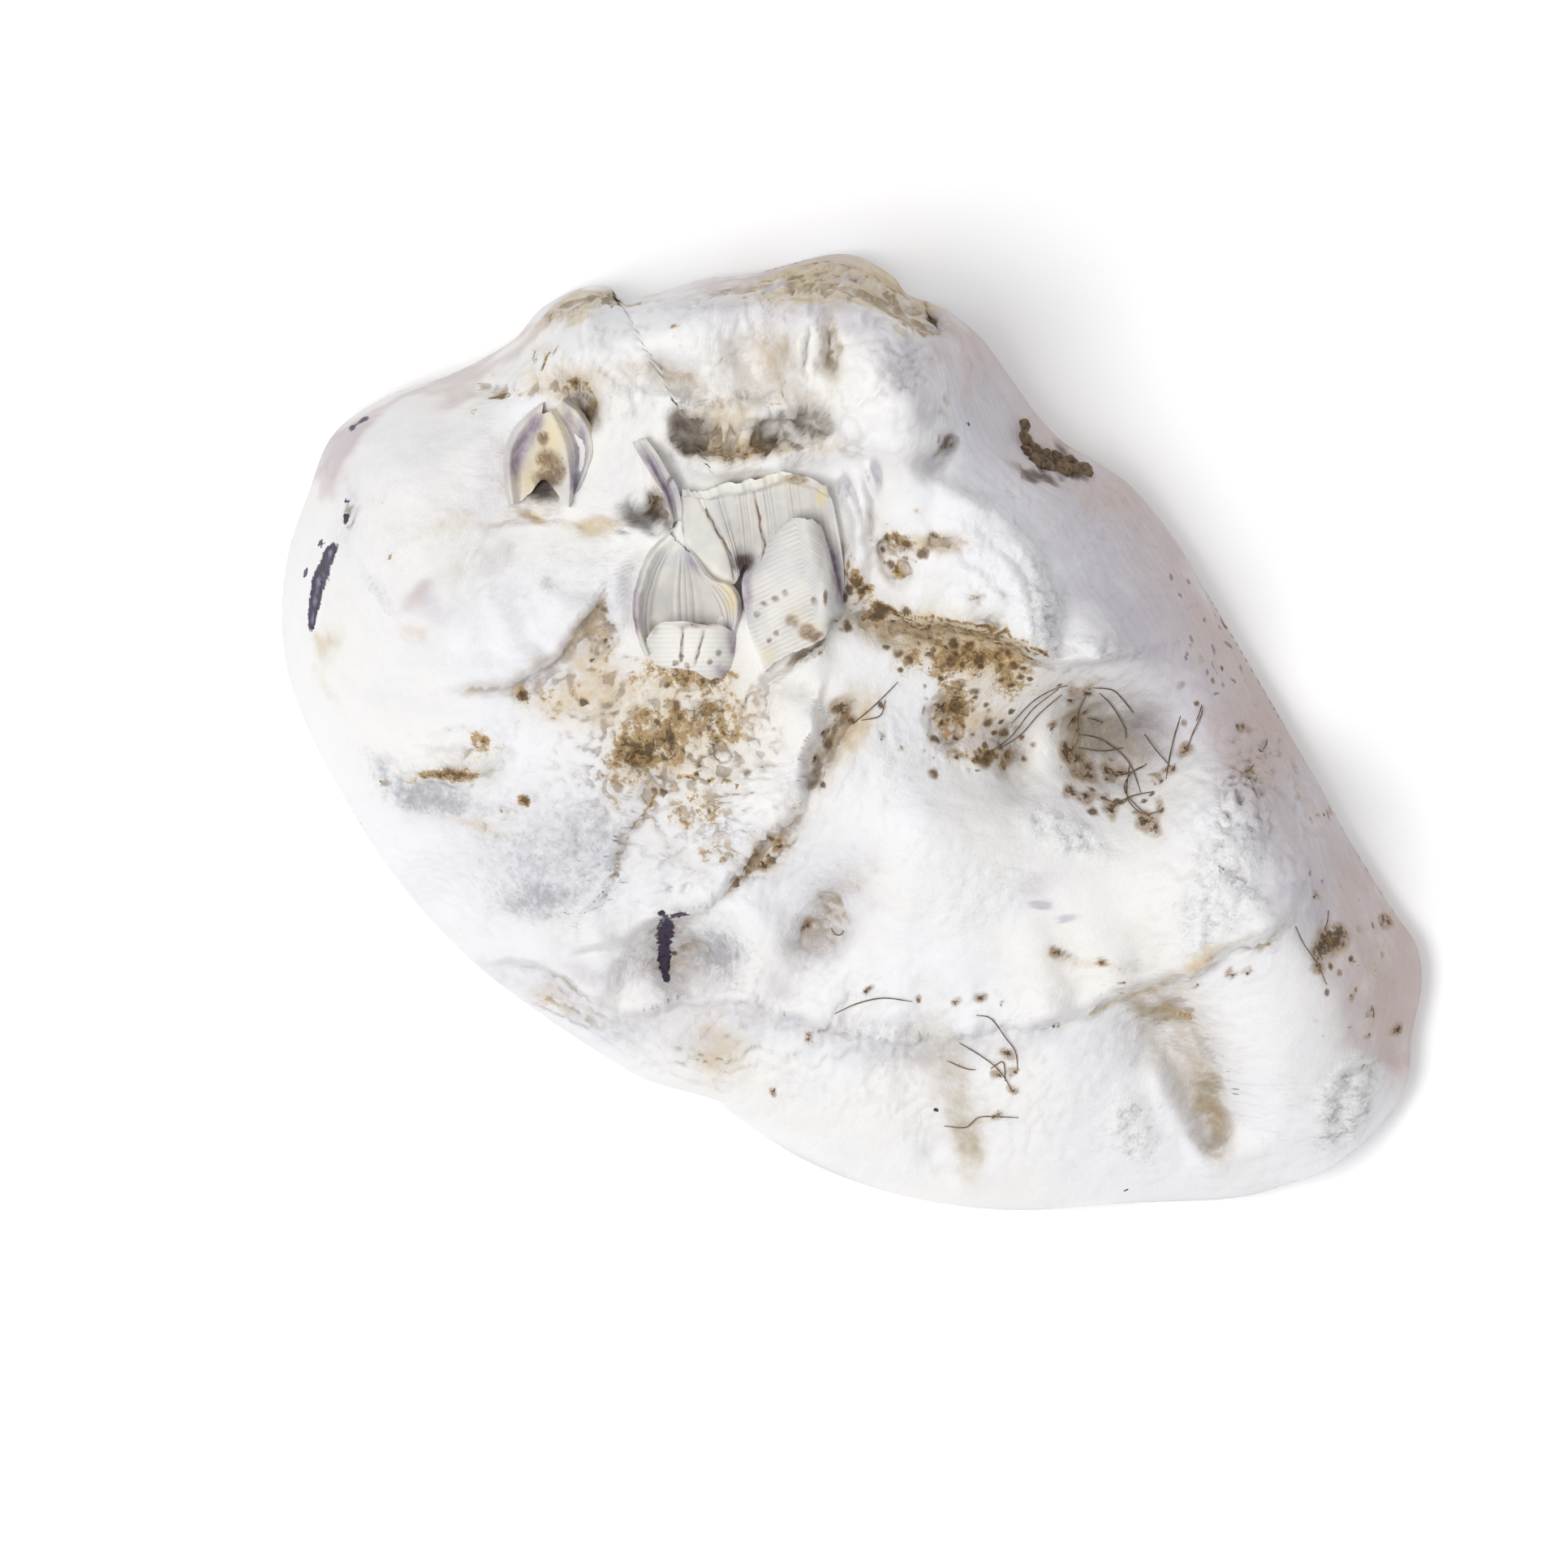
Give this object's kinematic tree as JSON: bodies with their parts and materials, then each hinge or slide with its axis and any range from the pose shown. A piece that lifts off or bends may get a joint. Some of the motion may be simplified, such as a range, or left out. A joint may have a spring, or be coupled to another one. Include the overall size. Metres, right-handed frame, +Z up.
{
  "type": "oyster shell",
  "caption": "Weathered cupped half of an oyster shell lying on its rim, with broken barnacle plates cemented near the hinge.",
  "frame": {"origin": "middle of the footprint, on the surface that the rim rests on", "axes": "+X along the shell's length towards its thin rounded end, +Z up through the back of the shell"},
  "size_m": [0.1123, 0.0724, 0.0366],
  "materials": {
    "shell": "bleached chalky shell, off-white with brown dirt, grey and lilac tints",
    "barnacle": "grey-white ribbed plate with dull purple edges"
  },
  "bodies": {
    "root": {"shell": "shell", "barnacle_large_wall": "barnacle", "barnacle_large_plate": "barnacle", "barnacle_small_cup": "barnacle", "barnacle_small_plate": "barnacle", "barnacle_chevron": "barnacle"}
  },
  "joints": []
}
